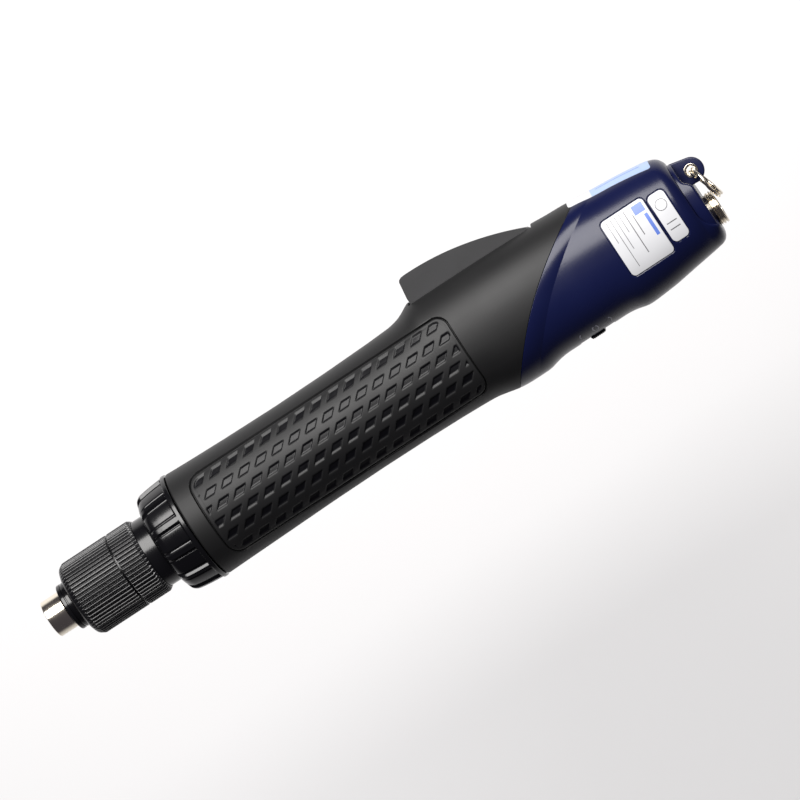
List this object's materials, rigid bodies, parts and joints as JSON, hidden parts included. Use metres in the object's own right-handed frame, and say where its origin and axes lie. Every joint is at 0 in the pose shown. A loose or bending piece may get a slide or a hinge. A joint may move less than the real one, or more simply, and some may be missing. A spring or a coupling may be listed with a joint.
{
  "type": "electric torque screwdriver",
  "caption": "In-line electric torque screwdriver with hex bit holder, adjustable clutch ring, soft grip, start lever, reversing slider, round power inlet and hanging ring.",
  "frame": {"origin": "centre of the bit holder's mouth, on the drive axis", "axes": "+X runs along the drive axis from nose to tail, +Y towards the start lever, +Z is the tool's left side, which faces up as the tool lies on a bench on its right side"},
  "size_m": [0.2605, 0.0518, 0.039],
  "materials": {
    "nickel": "bright nickel plate",
    "steel": "ground",
    "spring_steel": "drawn wire",
    "bronze": "sintered",
    "black_gloss": "moulded, semi-gloss",
    "black_satin": "black anodised, satin",
    "soft_grip": "soft-touch, fine grain",
    "grip_pad": "ribbed soft rubber",
    "blue_gloss": "moulded, gloss",
    "cast_alloy": "die cast",
    "copper": "enamelled wire",
    "dark_plastic": "moulded",
    "rubber": "matt",
    "board": "solder resist",
    "gold": "gold flash",
    "label_white": "printed film",
    "label_blue": "printed film"
  },
  "bodies": {
    "root": {"clutch_housing": "black_gloss", "nose_bushing": "bronze", "clutch_spring": "spring_steel", "thrust_washer": "steel", "coupling_nut": "black_gloss", "gear_case": "cast_alloy", "carrier_bearing": "steel", "ring_gear": "steel", "motor_front_bell": "cast_alloy", "motor_can": "steel", "stator_core": "steel", "stator_windings": "copper", "motor_front_bearing": "steel", "motor_rear_bearing": "steel", "motor_end_bell": "dark_plastic", "motor_sleeves": "rubber", "grip_shell_left": "soft_grip", "grip_shell_right": "soft_grip", "grip_pad_left": "grip_pad", "grip_pad_right": "grip_pad", "grip_screws": "steel", "rear_housing": "blue_gloss", "lever_pin": "steel", "start_switch": "dark_plastic", "control_board": "board", "board_components": "dark_plastic", "fr_switch": "dark_plastic", "end_cap": "blue_gloss", "cap_screws": "steel", "lug_eyelet": "nickel", "inlet_shell": "nickel", "inlet_insert": "dark_plastic", "inlet_pins": "gold", "inlet_nut": "nickel", "side_label": "label_white", "small_label": "label_white", "top_label": "label_blue"},
    "output_spindle": {"spindle": "steel", "bit_detent_ball": "steel", "sleeve_clip": "spring_steel", "sleeve_wave_spring": "spring_steel", "clutch_plate": "steel", "clutch_balls": "steel"},
    "release_sleeve": {"bit_sleeve": "nickel"},
    "carrier": {"planet_carrier": "steel", "clutch_cam": "steel"},
    "planet_1": {"planet_gear_1": "bronze"},
    "planet_2": {"planet_gear_2": "bronze"},
    "planet_3": {"planet_gear_3": "bronze"},
    "rotor": {"motor_shaft": "steel", "rotor_magnet": "steel", "sun_pinion": "bronze"},
    "spring_carriage": {"spring_pusher": "steel"},
    "torque_setting_ring": {"torque_ring": "black_satin"},
    "setting_lock_ring": {"lock_ring": "black_satin"},
    "start_lever": {"lever": "black_gloss", "lever_spring": "spring_steel"},
    "plunger": {"switch_plunger": "dark_plastic"},
    "reversing_slider": {"fr_slider": "black_gloss"},
    "hang_ring": {"split_ring": "nickel"}
  },
  "joints": [
    {"name": "rotor_spin", "type": "hinge", "parent": "root", "child": "rotor", "pos_m": [0.09, 0, 0], "axis": [1, 0, 0], "continuous": true},
    {"name": "carrier_spin", "type": "hinge", "parent": "root", "child": "carrier", "pos_m": [0.055, 0, 0], "axis": [1, 0, 0], "continuous": true},
    {"name": "planet_1_spin", "type": "hinge", "parent": "carrier", "child": "planet_1", "pos_m": [0.065, 0, -0.00675], "axis": [1, 0, 0], "continuous": true},
    {"name": "planet_2_spin", "type": "hinge", "parent": "carrier", "child": "planet_2", "pos_m": [0.065, 0.00585, 0.00337], "axis": [1, 0, 0], "continuous": true},
    {"name": "planet_3_spin", "type": "hinge", "parent": "carrier", "child": "planet_3", "pos_m": [0.065, -0.00585, 0.00337], "axis": [1, 0, 0], "continuous": true},
    {"name": "spindle_spin", "type": "hinge", "parent": "root", "child": "output_spindle", "pos_m": [0.02, 0, 0], "axis": [1, 0, 0], "continuous": true},
    {"name": "sleeve_pull", "type": "slide", "parent": "output_spindle", "child": "release_sleeve", "axis": [-1, 0, 0], "range_m": [0, 0.0022], "stiffness_N_per_m": 600, "springref_m": -0.002},
    {"name": "carriage_shift", "type": "slide", "parent": "root", "child": "spring_carriage", "axis": [1, 0, 0], "range_m": [0, 0.003]},
    {"name": "torque_ring_turn", "type": "hinge", "parent": "spring_carriage", "child": "torque_setting_ring", "pos_m": [0.02, 0, 0], "axis": [1, 0, 0], "range_deg": [0, 720]},
    {"name": "lock_ring_turn", "type": "hinge", "parent": "spring_carriage", "child": "setting_lock_ring", "pos_m": [0.035, 0, 0], "axis": [1, 0, 0], "range_deg": [0, 30]},
    {"name": "lever_press", "type": "hinge", "parent": "root", "child": "start_lever", "pos_m": [0.1985, 0.0163, 0], "axis": [0, 0, 1], "range_deg": [0, 6], "stiffness_Nm_per_rad": 0.6, "springref_deg": -3.44},
    {"name": "plunger_push", "type": "slide", "parent": "root", "child": "plunger", "axis": [0, -1, 0], "range_m": [0, 0.0036]},
    {"name": "reversing_slide", "type": "slide", "parent": "root", "child": "reversing_slider", "axis": [1, 0, 0], "range_m": [-0.003, 0.003]},
    {"name": "hang_ring_swing", "type": "hinge", "parent": "root", "child": "hang_ring", "pos_m": [0.2557, 0.0082, 0], "axis": [0, 0, 1], "range_deg": [0, 130]}
  ],
  "couplings": [
    {"joint": "carrier_spin", "follows": "rotor_spin", "ratio": 0.22222},
    {"joint": "spindle_spin", "follows": "rotor_spin", "ratio": 0.22222},
    {"joint": "planet_1_spin", "follows": "rotor_spin", "ratio": -0.62222},
    {"joint": "planet_2_spin", "follows": "rotor_spin", "ratio": -0.62222},
    {"joint": "planet_3_spin", "follows": "rotor_spin", "ratio": -0.62222},
    {"joint": "carriage_shift", "follows": "torque_ring_turn", "m_per_rad": 0.00023873},
    {"joint": "plunger_push", "follows": "lever_press", "m_per_rad": 0.0335}
  ]
}
